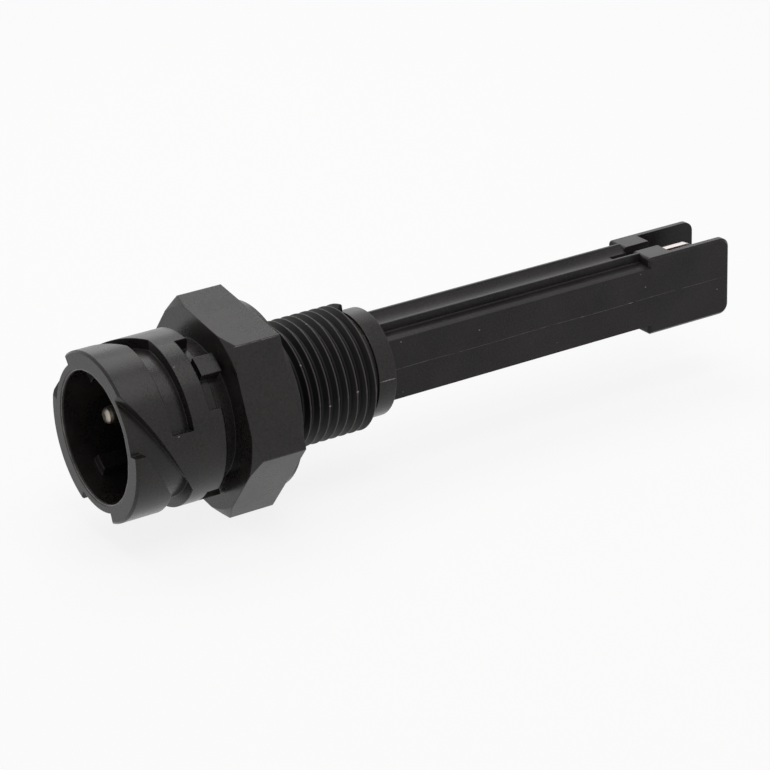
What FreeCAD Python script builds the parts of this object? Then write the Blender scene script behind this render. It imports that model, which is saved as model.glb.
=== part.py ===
"""Coolant level sensor: a screw-in probe with a two-pin bayonet socket and a forked tip.

Frame: millimetres, +X along the probe from the sealing face to the tip, +Z up, and the
origin at the centre of the sealing face. The socket lies on the -X side. The flat sides of
the stem face -Y and +Y, and the contact pins lie level with each other on either side.
"""
import FreeCAD, Part

import math
import os

import Sketcher

SIZES = (
    # Connector body, turned about the probe's axis against the stem
    ("connector_turn", 9.2, "angle of the hexagon against the flat sides of the stem"),
    ("hex_flats", 27.0, "hexagon across its flats"),
    ("hex_length", 7.5, "hexagon along the axis"),
    ("hex_corner_radius", 0.5, "rounding of the six corners"),
    ("hex_chamfer_radius", 14.1, "radius where the chamfer of the front corners begins"),
    ("washer_radius", 13.2, "round sealing face"),
    ("washer_thickness", 1.0, "height of the sealing face over the hexagon"),
    ("thread_radius", 9.0, "outer radius of the M18 thread"),
    ("thread_length", 15.0, "sealing face to the end of the thread"),
    ("thread_pitch", 1.5, "one turn of the thread along the axis"),
    ("thread_turns", 10, "turns of the thread"),
    ("thread_depth", 0.81, "crest to root of the thread"),
    ("thread_crest", 0.3, "flat of the crest along the axis"),
    ("relief_radius", 7.4, "run-out groove behind the thread"),
    ("relief_width", 0.6, "run-out groove along the axis"),
    ("collar_radius", 7.8, "smooth collar between thread and stem"),
    ("collar_length", 2.8, "smooth collar along the axis"),
    ("neck_radius", 9.9, "floor of the ring groove in front of the hexagon"),
    ("neck_width", 2.3, "ring groove along the axis"),
    # Bayonet shell
    ("shell_length", 16.0, "hexagon to the mouth of the socket"),
    ("shell_radius", 11.9, "outside of the shell"),
    ("sleeve_radius", 10.4, "floor of the bayonet grooves"),
    ("socket_radius", 9.2, "bore of the socket"),
    ("socket_depth", 12.5, "mouth of the socket to its floor"),
    ("rim_chamfer", 0.3, "edge break at the mouth and the shell's edges"),
    ("groove_count", 3, "bayonet grooves round the shell"),
    ("groove_start", 2.5, "angle where the first groove leaves the mouth"),
    ("groove_width", 3.2, "bayonet groove along the axis"),
    ("groove_rise", 8.9, "travel of the helical stretch along the axis"),
    ("groove_sweep", 80.0, "angle of the helical stretch"),
    ("lock_sweep", 75.0, "angle of the level stretch that holds the plug"),
    ("notch_end", 43.0, "angle of the entry notch from the groove's start"),
    ("pocket_start", 92.0, "angle of the relief pocket"),
    ("pocket_sweep", 56.0, "width of the relief pocket as an angle"),
    ("pocket_length", 2.0, "relief pocket in front of the ring groove"),
    ("pocket_radius", 10.2, "floor of the relief pocket"),
    ("tab_start", 110.6, "angle of the square tab in the pocket"),
    ("tab_sweep", 14.4, "width of the tab as an angle"),
    ("tab_length", 3.0, "tab along the axis"),
    ("tab_clearance", 0.6, "gap between the tab and the pocket's front wall"),
    ("key_sweep", 17.0, "width of a coding key as an angle"),
    ("key_height", 1.3, "coding key out of the socket's wall"),
    ("key_setback", 3.2, "mouth of the socket to the coding keys"),
    ("key_angle_a", 39.0, "first coding key"),
    ("key_angle_b", 137.0, "second coding key"),
    ("key_angle_c", 205.0, "third coding key"),
    ("key_angle_d", 299.0, "fourth coding key"),
    # Pins and their carrier
    ("carrier_radius", 8.4, "disc that holds the pins"),
    ("carrier_thickness", 4.6, "disc along the axis"),
    ("carrier_rim", 0.3, "flat rim of the disc's front face"),
    ("carrier_dish", 0.5, "depth of the dish in the front face"),
    ("pin_pitch", 10.9, "distance between the two pins"),
    ("pin_radius", 1.25, "contact pin"),
    ("pin_reach", 8.0, "contact pin out of the socket's floor"),
    ("pin_dome", 0.8, "rounded end of the pin along its axis"),
    ("pin_root_radius", 1.5, "shank of the pin inside the disc"),
    ("pin_collar_radius", 2.0, "collar that locks the pin in the disc"),
    ("pin_collar_width", 1.2, "pin collar along the axis"),
    ("pin_collar_depth", 1.8, "socket's floor to the pin collar"),
    ("pin_seal_width", 1.0, "seal ring round the pin, along the axis"),
    ("tail_radius", 0.8, "tail of the pin"),
    ("tail_length", 2.0, "tail of the pin behind the disc"),
    ("potting_length", 4.4, "cast plug between the disc and the spigot"),
    # Lead strips
    ("strip_thickness", 0.4, "sheet of the strips and the electrode lead"),
    ("strip_width", 1.6, "strip across"),
    ("strip_inset", 1.2, "middle of the probe to the strip's near edge"),
    ("strip_lap", 7.0, "strip on the board"),
    ("eyelet_margin", 0.5, "metal round the hole for the pin's tail"),
    # Stem
    ("spigot_radius", 6.4, "round root of the stem inside the thread"),
    ("lock_rib_radius", 7.0, "rib that locks the spigot in the moulding"),
    ("lock_rib_start", 9.0, "sealing face to the rib"),
    ("lock_rib_width", 2.0, "rib along the axis"),
    ("seal_place", 4.0, "sealing face to the middle of the spigot's seal ring"),
    ("seal_depth", 1.2, "seal ring from its bore to its rim"),
    ("seal_width", 1.2, "seal ring along the axis"),
    ("seal_play", 0.2, "room beside the seal ring in its groove"),
    ("stem_length", 45.9, "collar to the root of the fork"),
    ("stem_width", 10.1, "over the flat sides"),
    ("side_height", 8.9, "height of the flat sides"),
    ("rib_width", 4.1, "over the two rails of the rib"),
    ("rib_height", 11.7, "over the upper and lower rails"),
    ("rail_width", 0.2, "flat top of each rail"),
    ("flute_radius", 3.0, "hollow between the two rails"),
    # Fork
    ("cheek_length", 14.9, "root of the fork to its tip"),
    ("cheek_height", 11.9, "over the cheeks"),
    ("cheek_thickness", 1.2, "plain part of a cheek"),
    ("cheek_chamfer", 0.4, "edge break round the outside of a cheek"),
    ("cheek_corner_radius", 1.5, "rounding of the tip's corners"),
    ("cheek_root_radius", 0.5, "rounding of the root's corners"),
    ("block_length", 4.5, "thick root block of a cheek along the axis"),
    ("block_gap", 2.15, "space between the two root blocks"),
    ("slot_length", 3.0, "slot in the end of the stem"),
    ("slot_clearance", 0.1, "slot to each side of the blade"),
    # Electrode
    ("blade_thickness", 1.0, "sheet of the blade"),
    ("blade_height", 9.3, "free part of the blade"),
    ("blade_setback", 3.5, "tip of the cheeks to the end of the blade"),
    ("blade_corner_radius", 1.0, "rounding of the blade's corners"),
    ("blade_shoulder", 0.5, "start of the slot to the shoulder of the blade"),
    ("neck_height", 6.0, "part of the blade that is moulded in"),
    ("tang_height", 3.0, "part of the blade that carries the lead"),
    ("tang_reach", 3.0, "tang inside the board room"),
    ("plug_length", 3.0, "elastomer plug round the tang"),
    ("plug_width", 3.4, "plug across"),
    ("plug_height", 4.8, "plug over its height"),
    ("moulded_length", 9.3, "blade's neck held by the stem"),
    ("lead_length", 9.4, "electrode lead along the axis"),
    ("lead_flap", 2.0, "flap of the lead on the tang"),
    # Board and its parts
    ("room_width", 5.8, "board room across"),
    ("room_height", 5.8, "board room over its height"),
    ("board_setback", 3.0, "front of the spigot to the board"),
    ("board_gap", 1.0, "board to the tang of the blade"),
    ("board_width", 7.0, "board across, held in the two side slots"),
    ("board_thickness", 1.0, "board"),
    ("chip_place", 23.0, "front of the board to the level chip"),
    ("chip_length", 4.4, "level chip along the board"),
    ("chip_width", 3.6, "level chip across"),
    ("chip_height", 1.4, "level chip"),
    ("chip_leg_pitch", 1.05, "legs of the level chip"),
    ("leg_width", 0.4, "leg of a component along the board"),
    ("leg_reach", 0.8, "leg of a component out of its body"),
    ("leg_height", 0.3, "leg of a component"),
    ("transistor_place", 16.5, "front of the board to the transistor"),
    ("transistor_length", 2.9, "transistor along the board"),
    ("transistor_width", 1.4, "transistor across"),
    ("transistor_height", 1.0, "transistor"),
    ("diode_place", 10.2, "front of the board to the diode"),
    ("diode_length", 4.3, "diode along the board"),
    ("diode_width", 2.6, "diode across"),
    ("diode_height", 2.0, "diode"),
    ("varistor_place", 4.0, "front of the board to the varistor under it"),
    ("varistor_length", 4.5, "varistor along the board"),
    ("varistor_width", 3.2, "varistor across"),
    ("varistor_height", 1.8, "varistor"),
    ("capacitor_place", 13.0, "front of the board to the first capacitor under it"),
    ("capacitor_pitch", 7.0, "capacitors along the board"),
    ("capacitor_length", 2.0, "capacitor along the board"),
    ("capacitor_width", 1.3, "capacitor across"),
    ("capacitor_height", 1.2, "capacitor"),
    ("resistor_place", 29.6, "front of the board to the first resistors"),
    ("resistor_pitch", 2.5, "resistors along the board"),
    ("resistor_length", 1.6, "resistor along the board"),
    ("resistor_width", 0.8, "resistor across"),
    ("resistor_height", 0.5, "resistor"),
    ("resistor_row", 1.5, "middle of the board to a row of resistors"),
    ("joint_length", 1.4, "solder joint along the board"),
    ("joint_width", 1.2, "solder joint across"),
    ("joint_height", 0.5, "solder joint"),
)

DISTANCE_NAMES = (("DistanceX", 0), ("DistanceY", 1))
X_DIRECTION = FreeCAD.Vector(1, 0, 0)
Y_DIRECTION = FreeCAD.Vector(0, 1, 0)
Z_DIRECTION = FreeCAD.Vector(0, 0, 1)


class Size:
    """A number together with the sheet formula that drives it."""

    def __init__(self, value, formula):
        self.value = value
        self.formula = formula

    def __add__(self, other):
        other = as_size(other)
        return Size(self.value + other.value, f"({self.formula} + {other.formula})")

    def __radd__(self, other):
        return as_size(other) + self

    def __sub__(self, other):
        other = as_size(other)
        return Size(self.value - other.value, f"({self.formula} - {other.formula})")

    def __rsub__(self, other):
        return as_size(other) - self

    def __mul__(self, factor):
        factor = as_size(factor)
        return Size(self.value * factor.value, f"({self.formula} * {factor.formula})")

    def __rmul__(self, factor):
        return self * factor

    def __truediv__(self, divisor):
        divisor = as_size(divisor)
        return Size(self.value / divisor.value, f"({self.formula} / {divisor.formula})")

    def __neg__(self):
        return self * -1.0


def as_size(value):
    """Give a plain number the same form as a size."""
    if isinstance(value, Size):
        return value
    return Size(float(value), f"({float(value)!r})")


class SizeTable:
    """The sizes of the sheet, one attribute for each row."""

    def __init__(self, document, rows):
        self.sheet = document.addObject("Spreadsheet::Sheet", "Sizes")
        for number, (name, value, meaning) in enumerate(rows, start=1):
            self.sheet.set(f"A{number}", name)
            self.sheet.set(f"B{number}", str(value))
            self.sheet.setAlias(f"B{number}", name)
            self.sheet.set(f"C{number}", meaning)
            setattr(self, name, Size(value, f"Sizes.{name}"))


document = FreeCAD.newDocument("CoolantLevelSensor")
size = SizeTable(document, SIZES)

# Places along the probe's axis, each worked out from the sizes
hex_back = -size.washer_thickness
hex_front = hex_back - size.hex_length
neck_front = hex_front - size.neck_width
mouth = hex_front - size.shell_length
socket_floor = mouth + size.socket_depth
carrier_back = socket_floor + size.carrier_thickness
strip_front = carrier_back + size.tail_length - size.strip_thickness
spigot_front = carrier_back + size.potting_length
relief_end = size.thread_length + size.relief_width
collar_end = relief_end + size.collar_length
fork_root = collar_end + size.stem_length
fork_tip = fork_root + size.cheek_length
slot_start = fork_root - size.slot_length
neck_start = slot_start - size.moulded_length
room_end = neck_start - size.plug_length
board_front = spigot_front + size.board_setback
tang_end = room_end - size.tang_reach
board_end = tang_end - size.board_gap
board_top = size.board_thickness / 2
blade_tip = fork_tip - size.blade_setback


def bind(target, name, value):
    """Let a size drive one property of an object."""
    target.setExpression(name, as_size(value).formula)


def origin_feature(body, role):
    """Find a plane or axis of the body's own origin."""
    return next(feature for feature in body.Origin.OriginFeatures if feature.Role == role)


def new_body(label):
    """Start a piece that is made by features."""
    body = document.addObject("PartDesign::Body", label)
    body.Label = label
    return body


def new_sketch(body, name, role, shift=None, turn=None):
    """Put a sketch on an origin plane, moved along its normal or turned about the probe's axis."""
    sketch = body.newObject("Sketcher::SketchObject", name)
    sketch.AttachmentSupport = [(origin_feature(body, role), "")]
    sketch.MapMode = "FlatFace"
    if shift is not None:
        bind(sketch, "AttachmentOffset.Base.z", shift)
    if turn is not None:
        rotation = FreeCAD.Rotation(X_DIRECTION, as_size(turn).value)
        sketch.AttachmentOffset = FreeCAD.Placement(FreeCAD.Vector(), rotation)
        bind(sketch, "AttachmentOffset.Rotation.Angle", turn)
    return sketch


def fix_point(sketch, geometry, place, point):
    """Hold one point of a sketch at its two driven distances from the origin."""
    for kind, axis in DISTANCE_NAMES:
        constraint = Sketcher.Constraint(kind, -1, 1, geometry, place, point[axis].value)
        index = sketch.addConstraint(constraint)
        name = f"{kind}_{index}"
        sketch.renameConstraint(index, name)
        bind(sketch, f"Constraints.{name}", point[axis])


def arc_between(start, end, radius):
    """Draw the short arc between two points; a radius above zero has its centre on the left."""
    chord = end - start
    rise = math.sqrt(max(radius * radius - chord.Length * chord.Length / 4, 0.0))
    left = FreeCAD.Vector(-chord.y, chord.x, 0).normalize()
    centre = (start + end) / 2 + left * math.copysign(rise, radius)
    first, last = (start, end) if radius > 0 else (end, start)
    circle = Part.Circle(centre, Z_DIRECTION, abs(radius))
    angles = [math.atan2(point.y - centre.y, point.x - centre.x) for point in (first, last)]
    return Part.ArcOfCircle(circle, angles[0], angles[1])


def add_outline(sketch, corners):
    """Draw a closed outline; a third value at a corner is the radius of the arc to the next one."""
    points = [(as_size(corner[0]), as_size(corner[1])) for corner in corners]
    radii = [as_size(corner[2]) if len(corner) > 2 else None for corner in corners]
    vectors = [FreeCAD.Vector(across.value, along.value, 0) for across, along in points]
    ends = []
    for index, radius in enumerate(radii):
        start, end = vectors[index], vectors[(index + 1) % len(vectors)]
        if radius is None:
            geometry = sketch.addGeometry(Part.LineSegment(start, end), False)
            ends.append((geometry, 1, 2))
            continue
        geometry = sketch.addGeometry(arc_between(start, end, radius.value), False)
        ends.append((geometry, 1, 2) if radius.value > 0 else (geometry, 2, 1))
        name = f"Radius_{geometry}"
        constraint = Sketcher.Constraint("Radius", geometry, abs(radius.value))
        sketch.renameConstraint(sketch.addConstraint(constraint), name)
        bind(sketch, f"Constraints.{name}", radius if radius.value > 0 else -radius)
    for index, (geometry, start_place, _) in enumerate(ends):
        before, _, end_place = ends[index - 1]
        sketch.addConstraint(Sketcher.Constraint("Coincident", before, end_place, geometry, start_place))
        fix_point(sketch, geometry, start_place, points[index])


def add_box_outline(sketch, left, right, bottom, top):
    """Draw a rectangle from its four sides."""
    add_outline(sketch, [(left, bottom), (right, bottom), (right, top), (left, top)])


def add_circle(sketch, across, along, radius):
    """Draw a circle round a driven centre."""
    centre = (as_size(across), as_size(along))
    radius = as_size(radius)
    circle = Part.Circle(FreeCAD.Vector(centre[0].value, centre[1].value, 0), Z_DIRECTION, radius.value)
    geometry = sketch.addGeometry(circle, False)
    fix_point(sketch, geometry, 3, centre)
    index = sketch.addConstraint(Sketcher.Constraint("Radius", geometry, radius.value))
    sketch.renameConstraint(index, f"Radius_{geometry}")
    bind(sketch, f"Constraints.Radius_{geometry}", radius)


def extrude(body, kind, name, sketch, length, backwards=False, both_ways=False):
    """Add a pad or a pocket with a driven length."""
    feature = body.newObject(f"PartDesign::{kind}", name)
    feature.Profile = sketch
    bind(feature, "Length", length)
    feature.Reversed = backwards
    feature.Midplane = both_ways
    return feature


def revolve(body, kind, name, sketch, sweep=None):
    """Turn a sketch about the body's X axis, adding or cutting."""
    feature = body.newObject(f"PartDesign::{kind}", name)
    feature.Profile = sketch
    feature.ReferenceAxis = (origin_feature(body, "X_Axis"), [""])
    if sweep is None:
        feature.Angle = 360
    else:
        bind(feature, "Angle", sweep)
    return feature


def along_x(edge):
    """Tell whether a straight edge runs along the probe's axis."""
    start, end = (vertex.Point for vertex in edge.Vertexes)
    return abs(start.y - end.y) < 1e-6 and abs(start.z - end.z) < 1e-6


def connector_profile():
    """Half section of the connector body: shell, neck, sealing face, thread, collar and bore."""
    rim = size.rim_chamfer
    return [
        (mouth, size.socket_radius + rim),
        (mouth, size.shell_radius - rim),
        (mouth + rim, size.shell_radius),
        (neck_front - rim, size.shell_radius),
        (neck_front, size.shell_radius - rim),
        (neck_front, size.neck_radius),
        (hex_back, size.neck_radius),
        (hex_back, size.washer_radius),
        (0, size.washer_radius),
        (0, size.thread_radius),
        (size.thread_length, size.thread_radius),
        (size.thread_length, size.relief_radius),
        (relief_end, size.relief_radius),
        (relief_end, size.collar_radius),
        (collar_end, size.collar_radius),
        (collar_end, size.spigot_radius),
        (size.lock_rib_start + size.lock_rib_width, size.spigot_radius),
        (size.lock_rib_start + size.lock_rib_width, size.lock_rib_radius),
        (size.lock_rib_start, size.lock_rib_radius),
        (size.lock_rib_start, size.spigot_radius),
        (spigot_front, size.spigot_radius),
        (spigot_front, size.carrier_radius),
        (socket_floor, size.carrier_radius),
        (socket_floor, size.socket_radius),
        (mouth + rim, size.socket_radius),
    ]


def cut_hex_corners(body):
    """Chamfer the hexagon's front corners with a flat cone."""
    reach = size.hex_flats * 0.65
    slope = math.tan(math.radians(30))
    sketch = new_sketch(body, "HexChamferSection", "XY_Plane")
    add_outline(sketch, [
        (hex_front - 1, size.hex_chamfer_radius),
        (hex_front, size.hex_chamfer_radius),
        (hex_front + (reach - size.hex_chamfer_radius) * slope, reach),
        (hex_front - 1, reach),
    ])
    revolve(body, "Groove", "HexChamfer", sketch)


def cut_thread_rings(body):
    """Cut the furrows of the thread as closed rings, one for each turn."""
    middle = size.thread_pitch / 2
    half = (size.thread_pitch - size.thread_crest) / 2
    furrow = new_sketch(body, "ThreadFurrow", "XY_Plane")
    outside = size.thread_radius + size.thread_depth / 2
    add_outline(furrow, [
        (middle, size.thread_radius - size.thread_depth), (middle + half, size.thread_radius),
        (middle + half, outside), (middle - half, outside), (middle - half, size.thread_radius),
    ])
    first = revolve(body, "Groove", "FirstFurrow", furrow)
    row = body.newObject("PartDesign::LinearPattern", "ThreadFurrows")
    row.Originals = [first]
    row.Direction = (origin_feature(body, "X_Axis"), [""])
    bind(row, "Length", size.thread_pitch * (size.thread_turns - 1))
    bind(row, "Occurrences", size.thread_turns)
    body.Tip = row


def cut_bayonet_grooves(body):
    """Cut the helical entry, its notch and the level stretch of the first groove."""
    outside = size.shell_radius + 1
    entry = new_sketch(body, "GrooveSection", "XY_Plane", turn=size.groove_start)
    add_box_outline(entry, mouth - size.groove_width, mouth, size.sleeve_radius, outside)
    helix = body.newObject("PartDesign::SubtractiveHelix", "GrooveHelix")
    helix.Profile = entry
    helix.ReferenceAxis = (origin_feature(body, "X_Axis"), [""])
    helix.Mode = "pitch-height-angle"
    bind(helix, "Pitch", size.groove_rise * 360 / size.groove_sweep)
    bind(helix, "Height", size.groove_rise)

    notch_back = mouth - size.groove_width + size.groove_rise * size.notch_end / size.groove_sweep
    notch_start = size.notch_end / 2
    notch = new_sketch(body, "NotchSection", "XY_Plane", turn=size.groove_start + notch_start)
    add_box_outline(notch, mouth - 1, notch_back, size.sleeve_radius, outside)
    notch_cut = revolve(body, "Groove", "EntryNotch", notch, size.notch_end - notch_start)

    lock_back = mouth + size.groove_rise
    lock_turn = size.groove_start + size.groove_sweep
    lock = new_sketch(body, "LockSection", "XY_Plane", turn=lock_turn)
    add_box_outline(lock, lock_back - size.groove_width, lock_back, size.sleeve_radius, outside)
    lock_cut = revolve(body, "Groove", "LockStretch", lock, size.lock_sweep)
    return [helix, notch_cut, lock_cut]


def add_relief_pockets(body):
    """Cut the pocket by the ring groove and leave the square tab in it."""
    pocket_front = neck_front - size.pocket_length
    pocket = new_sketch(body, "PocketSection", "XY_Plane", turn=size.pocket_start)
    add_box_outline(pocket, pocket_front, neck_front + 1, size.pocket_radius, size.shell_radius + 1)
    pocket_cut = revolve(body, "Groove", "ReliefPocket", pocket, size.pocket_sweep)

    tab_front = pocket_front + size.tab_clearance
    tab = new_sketch(body, "TabSection", "XY_Plane", turn=size.tab_start)
    tab_root = size.neck_radius - 0.2
    add_box_outline(tab, tab_front, tab_front + size.tab_length, tab_root, size.shell_radius)
    tab_block = revolve(body, "Revolution", "PocketTab", tab, size.tab_sweep)
    return [pocket_cut, tab_block]


def repeat_round(body, features):
    """Repeat features round the probe's axis, once for each bayonet groove."""
    pattern = body.newObject("PartDesign::PolarPattern", "BayonetPattern")
    pattern.Originals = features
    pattern.Axis = (origin_feature(body, "X_Axis"), [""])
    pattern.Angle = 360
    bind(pattern, "Occurrences", size.groove_count)
    body.Tip = pattern


def add_coding_keys(body):
    """Raise the four coding keys on the wall of the socket."""
    angles = (size.key_angle_a, size.key_angle_b, size.key_angle_c, size.key_angle_d)
    for number, angle in enumerate(angles, start=1):
        sketch = new_sketch(body, f"KeySection{number}", "XY_Plane", turn=angle - size.key_sweep / 2)
        inner = size.socket_radius - size.key_height
        outer = (size.socket_radius + size.sleeve_radius) / 2
        add_box_outline(sketch, mouth + size.key_setback, socket_floor, inner, outer)
        body.Tip = revolve(body, "Revolution", f"CodingKey{number}", sketch, size.key_sweep)


def make_connector_body():
    """Bayonet shell, hexagon, sealing face, thread and collar in one moulding."""
    body = new_body("connector_body")
    half = size.hex_flats / 2
    corner = size.hex_flats / math.sqrt(3)
    hexagon = new_sketch(body, "Hexagon", "YZ_Plane", shift=hex_front)
    add_outline(hexagon, [
        (corner, 0), (corner / 2, half), (-corner / 2, half),
        (-corner, 0), (-corner / 2, -half), (corner / 2, -half),
    ])
    add_circle(hexagon, 0, 0, (size.neck_radius + size.carrier_radius) / 2)
    block = extrude(body, "Pad", "HexBlock", hexagon, size.hex_length)
    document.recompute()

    rounding = body.newObject("PartDesign::Fillet", "HexCorners")
    long_edges = [
        f"Edge{number}" for number, edge in enumerate(block.Shape.Edges, start=1)
        if len(edge.Vertexes) == 2 and along_x(edge) and isinstance(edge.Curve, Part.Line)
        and math.hypot(edge.Vertexes[0].Y, edge.Vertexes[0].Z) > half.value
    ]
    rounding.Base = (block, long_edges)
    bind(rounding, "Radius", size.hex_corner_radius)

    section = new_sketch(body, "BodySection", "XY_Plane")
    add_outline(section, connector_profile())
    revolve(body, "Revolution", "TurnedBody", section)
    cut_hex_corners(body)
    cut_thread_rings(body)
    repeat_round(body, cut_bayonet_grooves(body) + add_relief_pockets(body))
    add_coding_keys(body)

    turn = FreeCAD.Rotation(X_DIRECTION, size.connector_turn.value)
    body.Placement = FreeCAD.Placement(FreeCAD.Vector(), turn)
    bind(body, "Placement.Rotation.Angle", size.connector_turn)
    return body


def stem_section():
    """Outline of the stem: flat sides, ledges with a hollow foot, rails and the flute."""
    side = size.stem_width / 2
    ledge = size.side_height / 2
    rail_outer = size.rib_width / 2
    rail_inner = rail_outer - size.rail_width
    rail_top = size.rib_height / 2
    hollow = rail_top - ledge
    return [
        (side, -ledge), (side, ledge), (rail_outer + hollow, ledge, -hollow),
        (rail_outer, rail_top), (rail_inner, rail_top, -size.flute_radius),
        (-rail_inner, rail_top), (-rail_outer, rail_top, -hollow),
        (-rail_outer - hollow, ledge), (-side, ledge), (-side, -ledge),
        (-rail_outer - hollow, -ledge, -hollow), (-rail_outer, -rail_top),
        (-rail_inner, -rail_top, -size.flute_radius), (rail_inner, -rail_top),
        (rail_outer, -rail_top, -hollow), (rail_outer + hollow, -ledge),
    ]


def spigot_profile():
    """Half section of the stem's round root, with its seal groove and locking rib."""
    groove_half = size.seal_width / 2 + size.seal_play
    groove_front = size.seal_place - groove_half
    groove_back = size.seal_place + groove_half
    groove_floor = size.spigot_radius - size.seal_depth
    rib_back = size.lock_rib_start + size.lock_rib_width
    return [
        (spigot_front, 0), (spigot_front, size.spigot_radius),
        (groove_front, size.spigot_radius), (groove_front, groove_floor),
        (groove_back, groove_floor), (groove_back, size.spigot_radius),
        (size.lock_rib_start, size.spigot_radius), (size.lock_rib_start, size.lock_rib_radius),
        (rib_back, size.lock_rib_radius), (rib_back, size.spigot_radius),
        (collar_end, size.spigot_radius), (collar_end, 0),
    ]


def add_cheek(body, name, side):
    """Add one cheek of the fork on the side given as -1 or 1: a plate and its thick root block."""
    top = size.cheek_height / 2
    corner = size.cheek_corner_radius
    root = size.cheek_root_radius
    inner = size.stem_width / 2 - size.cheek_thickness
    root_corners = [(fork_root + root, top, root), (fork_root, top - root),
                    (fork_root, -top + root, root), (fork_root + root, -top)]
    plate = new_sketch(body, f"{name}Outline", "XZ_Plane", shift=-side * inner)
    add_outline(plate, root_corners + [
        (fork_tip - corner, -top, corner), (fork_tip, -top + corner),
        (fork_tip, top - corner, corner), (fork_tip - corner, top),
    ])
    extrude(body, "Pad", name, plate, size.cheek_thickness, backwards=side > 0)

    block = new_sketch(body, f"{name}RootOutline", "XZ_Plane", shift=-side * size.block_gap / 2)
    block_end = fork_root + size.block_length
    add_outline(block, root_corners + [(block_end, -top), (block_end, top)])
    reach = size.stem_width / 2 - size.block_gap / 2 - size.cheek_chamfer * 1.5
    return extrude(body, "Pad", f"{name}Root", block, reach, backwards=side > 0)


def break_cheek_edges(body, base):
    """Chamfer the edges round the outside of both cheeks, from the root over the tip."""
    side = size.stem_width.value / 2
    ledge = size.side_height.value / 2
    document.recompute()
    names = []
    for number, edge in enumerate(base.Shape.Edges, start=1):
        box = edge.BoundBox
        on_side = abs(abs(edge.CenterOfMass.y) - side) < 1e-6 and box.YLength < 1e-6
        beyond_root = box.XMin > fork_root.value - 1e-6
        at_rim = box.ZMax > ledge + 0.1 or box.ZMin < -ledge - 0.1 or box.XMin > fork_tip.value - 1e-6
        root_edge = box.XMax < fork_root.value + 1e-6
        if on_side and beyond_root and at_rim and not root_edge:
            names.append(f"Edge{number}")
    chamfer = body.newObject("PartDesign::Chamfer", "CheekEdges")
    chamfer.Base = (base, names)
    bind(chamfer, "Size", size.cheek_chamfer)


def cut_board_room(body):
    """Hollow the stem for the board, its side slots, the plug and the blade's neck."""
    room = new_sketch(body, "RoomOutline", "YZ_Plane", shift=spigot_front)
    half_width = size.room_width / 2
    half_height = size.room_height / 2
    add_box_outline(room, -half_width, half_width, -half_height, half_height)
    extrude(body, "Pocket", "BoardRoom", room, room_end - spigot_front, backwards=True)

    slots = new_sketch(body, "BoardSlotOutline", "YZ_Plane", shift=spigot_front)
    half_board = size.board_width / 2
    add_box_outline(slots, -half_board, half_board, -board_top, board_top)
    extrude(body, "Pocket", "BoardSlots", slots, board_end - spigot_front, backwards=True)

    plug = new_sketch(body, "PlugOutline", "YZ_Plane", shift=room_end)
    half_plug = size.plug_width / 2
    plug_top = size.plug_height / 2
    add_box_outline(plug, -half_plug, half_plug, -plug_top, plug_top)
    extrude(body, "Pocket", "PlugRoom", plug, size.plug_length, backwards=True)

    neck = new_sketch(body, "NeckOutline", "XZ_Plane")
    neck_top = size.neck_height / 2
    add_box_outline(neck, neck_start, slot_start + 0.1, -neck_top, neck_top)
    extrude(body, "Pocket", "NeckSlot", neck, size.blade_thickness, both_ways=True)

    slot = new_sketch(body, "ForkSlotOutline", "XZ_Plane")
    slot_top = size.rib_height / 2 + 1
    add_box_outline(slot, slot_start, fork_root + 0.5, -slot_top, slot_top)
    slot_width = size.blade_thickness + size.slot_clearance * 2
    body.Tip = extrude(body, "Pocket", "ForkSlot", slot, slot_width, both_ways=True)


def make_probe_stem():
    """Ribbed stem with its round root and the forked tip."""
    body = new_body("probe_stem")
    root = new_sketch(body, "SpigotSection", "XY_Plane")
    add_outline(root, spigot_profile())
    revolve(body, "Revolution", "Spigot", root)

    outline = new_sketch(body, "StemOutline", "YZ_Plane", shift=collar_end)
    add_outline(outline, stem_section())
    extrude(body, "Pad", "Stem", outline, size.stem_length)

    add_cheek(body, "NearCheek", -1)
    base = add_cheek(body, "FarCheek", 1)
    break_cheek_edges(body, base)
    cut_board_room(body)
    return body


def make_contact_pin(label, side):
    """Round contact pin with a rounded tip, a locking collar and a thin tail."""
    body = new_body(label)
    tip = socket_floor - size.pin_reach
    dome = size.pin_dome
    root = socket_floor + size.carrier_dish
    collar_front = socket_floor + size.pin_collar_depth
    collar_back = collar_front + size.pin_collar_width
    section = new_sketch(body, f"{label}_section", "XY_Plane")
    add_outline(section, [
        (tip, 0), (tip, size.pin_radius * 0.4), (tip + dome * 0.12, size.pin_radius * 0.68),
        (tip + dome * 0.45, size.pin_radius * 0.9), (tip + dome, size.pin_radius),
        (root, size.pin_radius), (root, size.pin_root_radius), (collar_front, size.pin_root_radius),
        (collar_front, size.pin_collar_radius), (collar_back, size.pin_collar_radius),
        (collar_back, size.pin_root_radius), (carrier_back, size.pin_root_radius),
        (carrier_back, size.tail_radius), (carrier_back + size.tail_length, size.tail_radius),
        (carrier_back + size.tail_length, 0),
    ])
    revolve(body, "Revolution", f"{label}_turned", section)
    bind(body, "Placement.Base.y", side * size.pin_pitch / 2)
    return body


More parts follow.
